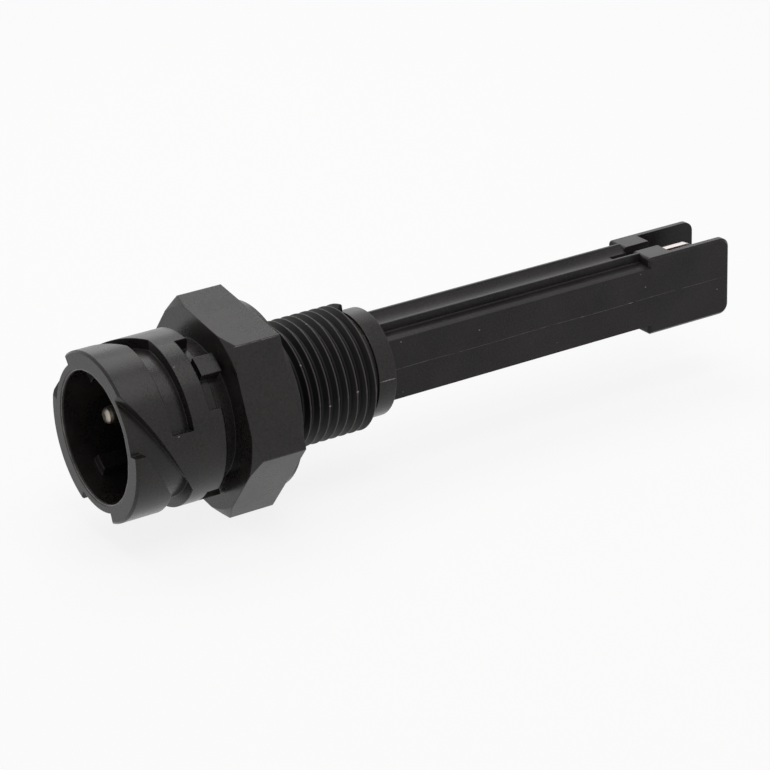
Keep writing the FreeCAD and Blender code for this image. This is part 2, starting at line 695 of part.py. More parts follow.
def make_lead_strip(label, side):
    """Stamped strip with an eyelet on the pin's tail, bent to lie on the board."""
    body = new_body(label)
    eyelet = size.tail_radius + size.eyelet_margin
    pin_place = size.pin_pitch / 2
    near, far = size.strip_inset, size.strip_inset + size.strip_width
    top = board_top + size.strip_thickness

    bend = new_sketch(body, f"{label}_profile", "XZ_Plane", shift=-side * near)
    lap_end = board_front + size.strip_lap
    strip_back = strip_front + size.strip_thickness
    add_outline(bend, [
        (strip_front, -eyelet), (strip_back, -eyelet), (strip_back, board_top),
        (lap_end, board_top), (lap_end, top), (strip_front, top),
    ])
    extrude(body, "Pad", f"{label}_bent", bend, far - near, backwards=side > 0)

    plate = new_sketch(body, f"{label}_plate", "YZ_Plane", shift=strip_front)
    outer = pin_place + eyelet * 0.8
    edges = (side * near, side * outer)
    add_box_outline(plate, edges[0], edges[1], -eyelet, eyelet)
    extrude(body, "Pad", f"{label}_eyelet", plate, size.strip_thickness)

    hole = new_sketch(body, f"{label}_hole_outline", "YZ_Plane", shift=strip_front)
    add_circle(hole, side * pin_place, 0, size.tail_radius)
    body.Tip = extrude(body, "Pocket", f"{label}_hole", hole, size.strip_thickness, backwards=True)
    return body


def cylinder(label, start, length, radius, across=0, up=0):
    """Plain cylinder along the probe's axis."""
    item = document.addObject("Part::Cylinder", label)
    item.Label = label
    item.Placement = FreeCAD.Placement(FreeCAD.Vector(), FreeCAD.Rotation(Y_DIRECTION, 90))
    bind(item, "Radius", radius)
    bind(item, "Height", length)
    bind(item, "Placement.Base.x", start)
    bind(item, "Placement.Base.y", across)
    bind(item, "Placement.Base.z", up)
    return item


def block(label, start, length, left, width, bottom, height):
    """Plain block from its lower corner and its three sizes."""
    item = document.addObject("Part::Box", label)
    item.Label = label
    bind(item, "Length", length)
    bind(item, "Width", width)
    bind(item, "Height", height)
    bind(item, "Placement.Base.x", start)
    bind(item, "Placement.Base.y", left)
    bind(item, "Placement.Base.z", bottom)
    return item


def cut(label, base, tools):
    """Take tools away from a base."""
    group = tools[0] if len(tools) == 1 else together(f"{label}_tools", tools)
    item = document.addObject("Part::Cut", label)
    item.Label = label
    item.Base = base
    item.Tool = group
    return item


def together(label, items):
    """Keep several solids as one group."""
    group = document.addObject("Part::Compound", label)
    group.Label = label
    group.Links = items
    return group


def fused(label, items):
    """Join several solids into one."""
    item = document.addObject("Part::MultiFuse", label)
    item.Label = label
    item.Shapes = items
    return item


def make_pin_seals():
    """One ring round each pin, at the back of the carrier."""
    rings = []
    front = carrier_back - size.pin_seal_width
    for number, side in enumerate((-1, 1), start=1):
        across = side * size.pin_pitch / 2
        outer = cylinder(f"seal_outer_{number}", front, size.pin_seal_width,
                         size.pin_collar_radius, across)
        inner = cylinder(f"seal_inner_{number}", front, size.pin_seal_width,
                         size.pin_root_radius, across)
        rings.append(cut(f"pin_seal_{number}", outer, [inner]))
    return together("pin_seals", rings)


def make_pin_carrier(pins, seals):
    """Disc with a dished front that holds both pins and their seals."""
    blank = new_body("carrier_blank")
    section = new_sketch(blank, "CarrierSection", "XY_Plane")
    rim = size.carrier_radius - size.carrier_rim
    dish = socket_floor + size.carrier_dish
    add_outline(section, [
        (dish, 0), (dish, rim - size.carrier_dish), (socket_floor, rim),
        (socket_floor, size.carrier_radius), (carrier_back, size.carrier_radius), (carrier_back, 0),
    ])
    revolve(blank, "Revolution", "CarrierTurned", section)
    return cut("pin_carrier", blank, pins + [seals])


def make_potting(pins, strips):
    """Cast plug round the pin tails and the strips."""
    blank = cylinder("potting_blank", carrier_back, size.potting_length, size.carrier_radius)
    return cut("potting_compound", blank, pins + strips)


def make_stem_seal():
    """Flat seal ring in the groove of the spigot."""
    front = size.seal_place - size.seal_width / 2
    rim = cylinder("seal_rim", front, size.seal_width, size.spigot_radius)
    bore = cylinder("seal_bore", front, size.seal_width, size.spigot_radius - size.seal_depth)
    return cut("stem_seal_ring", rim, [bore])


def make_electrode_blade():
    """Sensing blade with rounded corners, a moulded-in neck and a tang."""
    body = new_body("electrode_blade")
    top, neck, tang = size.blade_height / 2, size.neck_height / 2, size.tang_height / 2
    shoulder = slot_start + size.blade_shoulder
    corner = size.blade_corner_radius
    outline = new_sketch(body, "BladeOutline", "XZ_Plane")
    add_outline(outline, [
        (tang_end, -tang), (neck_start, -tang), (neck_start, -neck), (shoulder, -neck),
        (shoulder, -top), (blade_tip - corner, -top, corner), (blade_tip, -top + corner),
        (blade_tip, top - corner, corner), (blade_tip - corner, top), (shoulder, top),
        (shoulder, neck), (neck_start, neck), (neck_start, tang), (tang_end, tang),
    ])
    extrude(body, "Pad", "Blade", outline, size.blade_thickness, both_ways=True)
    return body


def make_blade_seal(blade):
    """Elastomer plug round the tang, in its room at the end of the board room."""
    blank = block("plug_blank", room_end, size.plug_length, -size.plug_width / 2, size.plug_width,
                  -size.plug_height / 2, size.plug_height)
    return cut("blade_seal", blank, [blade])


def make_electrode_lead():
    """Bent strip that lies on the board and is welded to the side of the tang."""
    body = new_body("electrode_lead")
    inner = size.blade_thickness / 2
    top = board_top + size.strip_thickness
    back = room_end - size.strip_thickness
    run = new_sketch(body, "LeadRunOutline", "YZ_Plane", shift=back - size.lead_length)
    add_box_outline(run, inner, inner + size.strip_width, board_top, top)
    extrude(body, "Pad", "LeadRun", run, size.lead_length)
    flap = new_sketch(body, "LeadFlapOutline", "YZ_Plane", shift=back - size.lead_flap)
    add_box_outline(flap, inner, inner + size.strip_thickness, -size.tang_height / 2, top)
    body.Tip = extrude(body, "Pad", "LeadFlap", flap, size.lead_flap)
    return body


def make_legged_part(label, place, length, width, height, leg_places):
    """Component on the board with a leg on each side at every given place along it."""
    start = board_front + place
    items = [block(f"{label}_case", start, length, -width / 2, width, board_top, height)]
    for number, leg_place in enumerate(leg_places, start=1):
        for side in (-1, 1):
            left = width / 2 if side > 0 else -width / 2 - size.leg_reach
            name = f"{label}_leg_{number}_{'right' if side > 0 else 'left'}"
            items.append(block(name, start + leg_place - size.leg_width / 2, size.leg_width,
                               left, size.leg_reach, board_top, size.leg_height))
    return fused(label, items)


def make_board_parts():
    """The board and every component on it."""
    board = block("circuit_board", board_front, board_end - board_front, -size.board_width / 2,
                  size.board_width, -board_top, size.board_thickness)
    middle = size.chip_length / 2
    chip_legs = [middle + size.chip_leg_pitch * step for step in (-1.5, -0.5, 0.5, 1.5)]
    chip = make_legged_part("level_chip", size.chip_place, size.chip_length, size.chip_width,
                            size.chip_height, chip_legs)
    transistor_legs = [size.transistor_length * share for share in (0.2, 0.8)]
    transistor = make_legged_part("switch_transistor", size.transistor_place,
                                  size.transistor_length, size.transistor_width,
                                  size.transistor_height, transistor_legs)
    diode = block("polarity_diode", board_front + size.diode_place, size.diode_length,
                  -size.diode_width / 2, size.diode_width, board_top, size.diode_height)
    varistor = block("surge_varistor", board_front + size.varistor_place, size.varistor_length,
                     -size.varistor_width / 2, size.varistor_width,
                     -board_top - size.varistor_height, size.varistor_height)
    return [board, chip, transistor, diode, varistor, make_capacitors(), make_resistors()]


def make_capacitors():
    """Three chip capacitors in a row under the board."""
    items = []
    for step in range(3):
        start = board_front + size.capacitor_place + size.capacitor_pitch * step
        items.append(block(f"capacitor_{step + 1}", start, size.capacitor_length,
                           -size.capacitor_width / 2, size.capacitor_width,
                           -board_top - size.capacitor_height, size.capacitor_height))
    return together("filter_capacitors", items)


def make_resistors():
    """Two rows of three chip resistors on the board."""
    items = []
    for step in range(3):
        for side in (-1, 1):
            start = board_front + size.resistor_place + size.resistor_pitch * step
            left = side * size.resistor_row - size.resistor_width / 2
            name = f"resistor_{step + 1}_{'right' if side > 0 else 'left'}"
            items.append(block(name, start, size.resistor_length, left, size.resistor_width,
                               board_top, size.resistor_height))
    return together("chip_resistors", items)


def make_solder_joints():
    """One joint at the end of each strip and one at the end of the electrode lead."""
    strip_end = board_front + size.strip_lap
    strip_middle = size.strip_inset + size.strip_width / 2
    lead_end = room_end - size.strip_thickness - size.lead_length - size.joint_length
    lead_middle = (size.blade_thickness + size.strip_width) / 2
    places = ((strip_end, -strip_middle), (strip_end, strip_middle), (lead_end, lead_middle))
    joints = []
    for number, (along, middle) in enumerate(places, start=1):
        left = middle - size.joint_width / 2
        joints.append(block(f"joint_{number}", along, size.joint_length, left, size.joint_width,
                            board_top, size.joint_height))
    return together("solder_joints", joints)


def check_document(parts):
    """Stop if any feature failed or any piece has no valid solid."""
    for item in document.Objects:
        if "Invalid" in item.State or "Error" in item.State:
            raise RuntimeError(f"{item.Label} failed: {item.State}")
    for part in parts:
        shape = part.Shape
        if shape.isNull() or not shape.isValid() or not shape.Solids:
            raise RuntimeError(f"{part.Label} has no valid solid")


def main():
    """Build every piece, check it and write it to its file."""
    pins = [make_contact_pin("contact_pin_signal", -1), make_contact_pin("contact_pin_ground", 1)]
    strips = [make_lead_strip("lead_strip_signal", -1), make_lead_strip("lead_strip_ground", 1)]
    seals = make_pin_seals()
    blade = make_electrode_blade()
    parts = [
        make_connector_body(), make_probe_stem(), make_pin_carrier(pins, seals), seals,
        make_potting(pins, strips), make_stem_seal(), blade, make_blade_seal(blade),
        make_electrode_lead(), make_solder_joints(),
    ]
    parts += pins + strips + make_board_parts()
    document.recompute()
    check_document(parts)
    os.makedirs("parts", exist_ok=True)
    for part in parts:
        part.Shape.exportStep(f"parts/{part.Label}.step")
        box = part.Shape.BoundBox
        print(f"{part.Label}: {len(part.Shape.Solids)} solids, {part.Shape.Volume:.2f} mm3, "
              f"x {box.XMin:.2f} to {box.XMax:.2f}")


main()
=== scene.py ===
import logging
import math
import random
from dataclasses import dataclass, field
from enum import Enum

import bmesh
import bpy
from mathutils import Matrix, Vector


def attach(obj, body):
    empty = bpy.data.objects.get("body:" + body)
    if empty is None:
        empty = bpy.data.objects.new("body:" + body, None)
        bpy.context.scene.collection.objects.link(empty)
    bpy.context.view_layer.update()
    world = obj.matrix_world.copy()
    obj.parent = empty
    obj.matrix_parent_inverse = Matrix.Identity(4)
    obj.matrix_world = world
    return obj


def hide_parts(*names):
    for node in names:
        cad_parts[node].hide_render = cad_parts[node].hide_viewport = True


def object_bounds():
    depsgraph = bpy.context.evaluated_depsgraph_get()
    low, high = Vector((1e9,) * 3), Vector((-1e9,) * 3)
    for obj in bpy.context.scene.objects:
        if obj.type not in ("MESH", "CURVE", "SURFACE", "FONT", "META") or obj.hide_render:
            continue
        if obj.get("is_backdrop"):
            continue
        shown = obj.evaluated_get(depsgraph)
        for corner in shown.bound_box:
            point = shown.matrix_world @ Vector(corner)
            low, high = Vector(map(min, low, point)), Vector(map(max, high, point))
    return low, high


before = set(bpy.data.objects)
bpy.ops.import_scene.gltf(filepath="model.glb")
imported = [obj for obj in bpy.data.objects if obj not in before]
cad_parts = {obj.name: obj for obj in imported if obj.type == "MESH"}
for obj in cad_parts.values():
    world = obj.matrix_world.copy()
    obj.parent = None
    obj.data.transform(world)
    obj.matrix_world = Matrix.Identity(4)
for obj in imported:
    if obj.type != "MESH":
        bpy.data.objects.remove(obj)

LOG = logging.getLogger("coolant_level_sensor")
MM = 0.001
BODY = "root"
Point = tuple[float, float, float]
Span = tuple[float, float]
MeshParts = tuple[list[Point], list[tuple[int, ...]]]
# Values of a pattern that the tones, the sheen and the flecks are spread over
TONE_SPAN: Span = (0.35, 0.65)
SHEEN_SPAN: Span = (0.3, 0.7)
FLECK_SPAN: Span = (0.16, 0.04)
# Width of the cell round a fleck, in widths of the grain
FLECK_CELL = 2.2
NOISE_ROUGHNESS = 0.6
# Distance between the rings of Blender's wave texture at a scale of one
WAVE_PERIOD = math.tau / 20
BEVEL_SAMPLES = 6
# Points of a mesh that lie closer than this, in metres, are one point
MERGE_DISTANCE = 1e-7


def linear(hex_colour: str) -> tuple[float, float, float, float]:
    """Turn an sRGB hex colour to linear light.

    Args:
        hex_colour: Six hex digits, with or without a leading hash.

    Returns:
        Red, green and blue in linear light, and an alpha of one.
    """
    digits = hex_colour.lstrip("#")
    channels = []
    for start in (0, 2, 4):
        value = int(digits[start:start + 2], 16) / 255
        channels.append(value / 12.92 if value <= 0.04045 else ((value + 0.055) / 1.055) ** 2.4)
    return channels[0], channels[1], channels[2], 1.0


def add_node(
    tree: bpy.types.NodeTree,
    kind: str,
    settings: dict | None = None,
    links: dict | None = None,
) -> bpy.types.Node:
    """Add a node with its settings and its links.

    Args:
        tree: Node tree that gets the node.
        kind: Blender's name for the node's type.
        settings: Values by name of the node's property, or by name or number of its input.
        links: Outputs of other nodes, by name or number of the input that they feed.

    Returns:
        The new node.
    """
    node = tree.nodes.new(kind)
    for name, value in (settings or {}).items():
        if isinstance(name, str) and hasattr(node, name):
            setattr(node, name, value)
        else:
            node.inputs[name].default_value = value
    for name, source in (links or {}).items():
        tree.links.new(source, node.inputs[name])
    return node


class Process(Enum):
    """How a surface was made: the stretch of its pattern along X, Y and Z."""

    MOULDED = (1.0, 1.0, 1.0)
    ROLLED = (0.06, 1.0, 1.0)
    TURNED = (1.0, 0.03, 0.03)
    CAST = (0.8, 1.0, 1.2)
    FIRED = (1.2, 1.0, 1.1)


@dataclass(frozen=True)
class Finish:
    """A real material and the way its surface was made.

    The broad pattern drives the colour and the sheen, the grain drives the bump, and the
    rounding softens each edge as far as the real piece's edges are soft.
    """

    name: str
    process: Process
    dark_hex: str
    light_hex: str
    roughness: float
    roughness_spread: float = 0.06
    metallic: float = 0.0
    ior: float = 1.5
    specular: float = 0.5
    pattern_mm: float = 4.0
    grain_mm: float = 0.3
    grain_depth_mm: float = 0.01
    rounding_mm: float = 0.12
    mottle: float = 0.4
    fleck_share: float = 0.0
    fleck_hex: str = "8a8683"
    # Painted highlight on the thread's crests: radius where it is full, depth over which it fades
    # in, and its colour
    crest_radius_mm: float = 0.0
    crest_depth_mm: float = 0.10
    crest_highlight_hex: str = "565150"
    ring_mm: float = 0.0

    def coordinates(self, tree: bpy.types.NodeTree) -> bpy.types.NodeSocket:
        """Return the place in the row frame, stretched along the way the surface was made.

        Args:
            tree: Node tree of the material.

        Returns:
            The stretched coordinates, in metres.
        """
        place = add_node(tree, "ShaderNodeTexCoord")
        stretch = add_node(tree, "ShaderNodeMapping", {"Scale": self.process.value},
                           {"Vector": place.outputs["Object"]})
        return stretch.outputs["Vector"]

    def noise(
        self, tree: bpy.types.NodeTree, place: bpy.types.NodeSocket, width_mm: float, detail: float
    ) -> bpy.types.NodeSocket:
        """Return a noise whose features are about as wide as stated.

        Args:
            tree: Node tree of the material.
            place: Coordinates in metres.
            width_mm: Width of one feature in millimetres.
            detail: Octaves of finer noise.

        Returns:
            The noise value, around one half.
        """
        settings = {"Scale": 1 / (width_mm * MM), "Detail": detail, "Roughness": NOISE_ROUGHNESS}
        node = add_node(tree, "ShaderNodeTexNoise", settings, {"Vector": place})
        return node.outputs[0]

    def colour(
        self, tree: bpy.types.NodeTree, place: bpy.types.NodeSocket, broad: bpy.types.NodeSocket,
        grain: bpy.types.NodeSocket,
    ) -> bpy.types.NodeSocket:
        """Return the colour: two close tones mixed by clouds and grain, any painted crest
        highlight, and any flecks.

        Args:
            tree: Node tree of the material.
            place: Coordinates in metres.
            broad: Value of the broad pattern.
            grain: Value of the fine grain.

        Returns:
            The colour of the surface.
        """
        mottle = add_node(tree, "ShaderNodeMix", {"data_type": "FLOAT", 0: self.mottle},
                          {2: broad, 3: grain})
        spread = add_node(
            tree, "ShaderNodeMapRange", {"From Min": TONE_SPAN[0], "From Max": TONE_SPAN[1]},
            {"Value": mottle.outputs[0]},
        )
        tones = add_node(
            tree, "ShaderNodeMix",
            {"data_type": "RGBA", 6: linear(self.dark_hex), 7: linear(self.light_hex)},
            {0: spread.outputs["Result"]},
        )
        # Painted highlight: the thread's crests are lightened where they catch the light
        if self.crest_radius_mm > 0:
            tones = self.painted_crest_highlight(tree, tones.outputs[2])
        if self.fleck_share == 0:
            return tones.outputs[2]
        cells = add_node(
            tree, "ShaderNodeTexVoronoi", {"Scale": 1 / (self.grain_mm * FLECK_CELL * MM)},
            {"Vector": place},
        )
        flecks = add_node(
            tree, "ShaderNodeMapRange",
            {"From Min": FLECK_SPAN[0], "From Max": FLECK_SPAN[1], "To Min": 0.0,
             "To Max": self.fleck_share},
            {"Value": cells.outputs["Distance"]},
        )
        mixed = add_node(tree, "ShaderNodeMix", {"data_type": "RGBA", 7: linear(self.fleck_hex)},
                         {0: flecks.outputs["Result"], 6: tones.outputs[2]})
        return mixed.outputs[2]

    def painted_crest_highlight(
        self, tree: bpy.types.NodeTree, tones: bpy.types.NodeSocket
    ) -> bpy.types.Node:
        """Paint a highlight on what lies as far from the probe's axis as the crests of a thread.

        Args:
            tree: Node tree of the material.
            tones: Colour of the surface without the painted highlight.

        Returns:
            The node whose third output is the colour with the painted highlight.
        """
        place = add_node(tree, "ShaderNodeTexCoord")
        across = add_node(
            tree, "ShaderNodeVectorMath", {"operation": "MULTIPLY", 1: (0.0, 1.0, 1.0)},
            {0: place.outputs["Object"]},
        )
        radius = add_node(tree, "ShaderNodeVectorMath", {"operation": "LENGTH"},
                          {0: across.outputs["Vector"]})
        painted_crest_mask = add_node(
            tree, "ShaderNodeMapRange",
            {"From Min": (self.crest_radius_mm - self.crest_depth_mm) * MM,
             "From Max": self.crest_radius_mm * MM},
            {"Value": radius.outputs["Value"]},
        )
        return add_node(tree, "ShaderNodeMix", {"data_type": "RGBA", 7: linear(self.crest_highlight_hex)},
                        {0: painted_crest_mask.outputs["Result"], 6: tones})

    def turned_rings(
        self, tree: bpy.types.NodeTree, grain: bpy.types.NodeSocket
    ) -> bpy.types.NodeSocket:
        """Add rings round the probe's axis to the grain, at their real spacing.

        Args:
            tree: Node tree of the material.
            grain: Height of the plain grain.

        Returns:
            The height of grain and rings together.
        """
        place = add_node(tree, "ShaderNodeTexCoord")
        rings = add_node(
            tree, "ShaderNodeTexWave",
            {"wave_type": "RINGS", "rings_direction": "X", "Distortion": 1.5, "Detail": 2.0,
             "Scale": WAVE_PERIOD / (self.ring_mm * MM)},
            {"Vector": place.outputs["Object"]},
        )
        height = add_node(tree, "ShaderNodeMath", {"operation": "ADD"},
                          {0: grain, 1: rings.outputs["Fac"]})
        return height.outputs[0]

    def material(self) -> bpy.types.Material:
        """Build the node material of this finish.

        Returns:
            The material.
        """
        material = bpy.data.materials.new(self.name)
        material.use_nodes = True
        tree = material.node_tree
        tree.nodes.clear()
        place = self.coordinates(tree)
        broad = self.noise(tree, place, self.pattern_mm, 4.0)
        fine = self.noise(tree, place, self.grain_mm, 3.0)
        grain = self.turned_rings(tree, fine) if self.ring_mm > 0 else fine
        sheen = add_node(
            tree, "ShaderNodeMapRange",
            {"From Min": SHEEN_SPAN[0], "From Max": SHEEN_SPAN[1],
             "To Min": self.roughness - self.roughness_spread,
             "To Max": self.roughness + self.roughness_spread},
            {"Value": broad},
        )
        soft_edge = add_node(
            tree, "ShaderNodeBevel",
            {"samples": BEVEL_SAMPLES, "Radius": self.rounding_mm * MM},
        )
        bump = add_node(
            tree, "ShaderNodeBump", {"Strength": 1.0, "Distance": self.grain_depth_mm * MM},
            {"Height": grain, "Normal": soft_edge.outputs["Normal"]},
        )
        surface = add_node(
            tree, "ShaderNodeBsdfPrincipled",
            {"Metallic": self.metallic, "IOR": self.ior, "Specular IOR Level": self.specular},
            {"Base Color": self.colour(tree, place, broad, fine),
             "Roughness": sheen.outputs["Result"], "Normal": bump.outputs["Normal"]},
        )
        add_node(tree, "ShaderNodeOutputMaterial", links={"Surface": surface.outputs["BSDF"]})
        return material


# Glass-filled nylon, moulded in a spark-eroded tool: matt, warm black, with a fine even grain
CONNECTOR_NYLON = Finish(
    "moulded_glass_filled_nylon", Process.MOULDED, "151312", "2d2928", roughness=0.28,
    roughness_spread=0.05, specular=0.28, pattern_mm=5.0, grain_mm=0.32, grain_depth_mm=0.020,
    rounding_mm=0.20, mottle=0.6, fleck_share=0.05,
)
# The same nylon on the thread, painted darker as shade on the flanks, with a painted highlight
# where the crests catch the light
SHADED_THREAD_NYLON = Finish(
    "thread_nylon_painted_shade_and_highlight", Process.MOULDED, "080707", "0d0c0c", roughness=0.44,
    specular=0.18, pattern_mm=5.0, grain_mm=0.32, grain_depth_mm=0.010, rounding_mm=0.04,
    crest_radius_mm=9.0,
)
# The same nylon in a smoother tool, so the stem is a little darker and closer to satin
STEM_NYLON = Finish(
    "moulded_stem_nylon", Process.MOULDED, "1b191a", "302c2d", roughness=0.32,
    roughness_spread=0.05, specular=0.17, pattern_mm=7.0, grain_mm=0.28, grain_depth_mm=0.015,
    rounding_mm=0.14, mottle=0.6, fleck_share=0.06,
)
# Polyester insert: black and faintly glossy, with the fine rings of a tool turned on a lathe
CARRIER_POLYESTER = Finish(
    "moulded_polyester_insert", Process.MOULDED, "121211", "1c1b1b", roughness=0.38,
    pattern_mm=3.0, grain_mm=0.5, grain_depth_mm=0.02, rounding_mm=0.12, ring_mm=0.7,
)
# The same nylon squeezed into the joint of the tool: a thin line, a shade paler than the stem
PARTING_NYLON = Finish(
    "squeezed_nylon_parting_line", Process.MOULDED, "1f1c1b", "56514f", roughness=0.45,
    specular=0.3, pattern_mm=1.1, grain_mm=0.1, grain_depth_mm=0.01, rounding_mm=0.02,
)
# Flash and scuffed specks of the same nylon, whitened where it was torn thin, and a painted
# highlight on the stem's flash beads
TORN_AND_HIGHLIGHT_NYLON = Finish(
    "torn_nylon_flash_and_painted_highlight", Process.MOULDED, "6b6765", "a39e9b", roughness=0.55, pattern_mm=0.4,
    grain_mm=0.1, grain_depth_mm=0.01, rounding_mm=0.02,
)
# The same nylon, paler and smoother, on the socket's edge and the hexagon's corner flash: a
# painted highlight where these edges catch the light
EDGE_HIGHLIGHT_NYLON = Finish(
    "nylon_edge_painted_highlight", Process.MOULDED, "48433f", "7d7774", roughness=0.30, pattern_mm=2.5,
    grain_mm=0.2, grain_depth_mm=0.004, rounding_mm=0.02,
)
# Brass pin with a tin plating, turned: warm grey, dulled by handling, with fine rings round it
TINNED_BRASS = Finish(
    "turned_tinned_brass", Process.TURNED, "8f887e", "bdb5aa", roughness=0.42, metallic=1.0,
    pattern_mm=0.8, grain_mm=0.14, grain_depth_mm=0.003, rounding_mm=0.08,
)
# Stainless sheet, stamped from rolled strip: pale with a faint warm cast and long streaks
ROLLED_STAINLESS = Finish(
    "rolled_stainless_sheet", Process.ROLLED, "b8afab", "e2d8d4", roughness=0.28, metallic=1.0,
    pattern_mm=1.2, grain_mm=0.25, grain_depth_mm=0.003, rounding_mm=0.06,
)
# Brass strip, stamped and bent: yellow metal dulled by handling
ROLLED_BRASS = Finish(
    "rolled_brass_strip", Process.ROLLED, "a8863f", "d3b56c", roughness=0.3, metallic=1.0,
    pattern_mm=1.5, grain_mm=0.25, grain_depth_mm=0.003, rounding_mm=0.05,
)
# Nitrile rubber, moulded: dull black that scatters what light it gets
NITRILE_RUBBER = Finish(
    "moulded_nitrile_rubber", Process.MOULDED, "141414", "201f1f", roughness=0.72, ior=1.52,
    pattern_mm=1.5, grain_mm=0.2, grain_depth_mm=0.008, rounding_mm=0.05,
)
# Epoxy resin, cast: dark and glossy with a slow swell in its surface
CAST_EPOXY = Finish(
    "cast_epoxy_resin", Process.CAST, "15110e", "241d17", roughness=0.16, ior=1.55,
    pattern_mm=3.0, grain_mm=1.8, grain_depth_mm=0.03, rounding_mm=0.05,
)
# Glass-epoxy laminate under a green solder mask, screened: satin with the weave just showing
SCREENED_LAMINATE = Finish(
    "screened_glass_epoxy_laminate", Process.MOULDED, "11502a", "1b6a3a", roughness=0.34,
    ior=1.55, pattern_mm=2.5, grain_mm=0.4, grain_depth_mm=0.006, rounding_mm=0.05,
)
# Filled epoxy of chip cases, transfer moulded: charcoal and evenly matt
CASE_EPOXY = Finish(
    "transfer_moulded_epoxy", Process.MOULDED, "1d1d1f", "2b2b2e", roughness=0.5,
    pattern_mm=1.5, grain_mm=0.12, grain_depth_mm=0.005, rounding_mm=0.06, fleck_share=0.1,
)
# Varistor coating, dipped: blue lacquer with a soft orange peel
DIPPED_LACQUER = Finish(
    "dipped_blue_lacquer", Process.CAST, "16407c", "2459a0", roughness=0.3,
    pattern_mm=1.2, grain_mm=0.6, grain_depth_mm=0.02, rounding_mm=0.15,
)
# Capacitor ceramic, fired: tan with darker grain
FIRED_CERAMIC = Finish(
    "fired_tan_ceramic", Process.FIRED, "8a6b45", "b08f63", roughness=0.45, ior=1.7,
    pattern_mm=0.7, grain_mm=0.15, grain_depth_mm=0.006, rounding_mm=0.08,
)
# Tin-silver solder, reflowed: bright with frosted grain
REFLOWED_SOLDER = Finish(
    "reflowed_tin_solder", Process.CAST, "b4b6b8", "dcdedf", roughness=0.22, metallic=1.0,
    pattern_mm=0.5, grain_mm=0.2, grain_depth_mm=0.01, rounding_mm=0.05,
)


class Workshop:
    """Makes pieces, keeps one material for each finish, and fixes pieces to the frame."""

    def __init__(self) -> None:
        """Start with no materials."""
        self.materials: dict[str, bpy.types.Material] = {}

    def material(self, finish: Finish) -> bpy.types.Material:
        """Return the material of a finish, built once.

        Args:
            finish: The finish.

        Returns:
            Its material, the same one each time.
        """
        if finish.name not in self.materials:
            self.materials[finish.name] = finish.material()
        return self.materials[finish.name]

    def dress_node(self, node: str, finish: Finish) -> None:
        """Give a carried-over node its finish.

        Args:
            node: Name of the node in the frame.
            finish: Finish for every material slot of the node.
        """
        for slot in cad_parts[node].material_slots:
            slot.material = self.material(finish)
        LOG.info("%s: %s", node, finish.name)

    def add_piece(
        self, name: str, mesh: bpy.types.Mesh, finish: Finish, slot: str
    ) -> bpy.types.Object:
        """Link a mesh as a piece that moves with the part.

        Args:
            name: Name of the piece.
            mesh: Its mesh, in metres in the row frame.
            finish: Its finish.
            slot: Not used.

        Returns:
            The linked object.
        """
        mesh.materials.clear()
        mesh.materials.append(self.material(finish))
        piece = bpy.data.objects.new(name, mesh)
        bpy.context.scene.collection.objects.link(piece)
        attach(piece, BODY)
        LOG.info("%s: %d faces, %s", name, len(mesh.polygons), finish.name)
        return piece


def mesh_from(
    name: str, points: list[Point], faces: list[tuple[int, ...]], smooth: bool
) -> bpy.types.Mesh:
    """Make a mesh from points in millimetres.

    Args:
        name: Name of the mesh.
        points: Points in millimetres.
        faces: Corners of each face.
        smooth: Whether faces are shaded as one round surface.

    Returns:
        The mesh, in metres, with its faces turned outward.
    """
    mesh = bpy.data.meshes.new(name)
    mesh.from_pydata([tuple(value * MM for value in point) for point in points], [], faces)
    work = bmesh.new()
    work.from_mesh(mesh)
    bmesh.ops.remove_doubles(work, verts=work.verts, dist=MERGE_DISTANCE)
    bmesh.ops.recalc_face_normals(work, faces=work.faces)
    work.to_mesh(mesh)
    work.free()
    for polygon in mesh.polygons:
        polygon.use_smooth = smooth
    return mesh


def around(x: float, radius: float, degrees: float) -> Point:
    """Return the point at an angle round the probe's axis.

    Args:
        x: Place along the axis.
        radius: Distance from the axis.
        degrees: Angle from +Y toward +Z.

    Returns:
        The point, in the unit of x and radius.
    """
    angle = math.radians(degrees)
    return x, radius * math.cos(angle), radius * math.sin(angle)


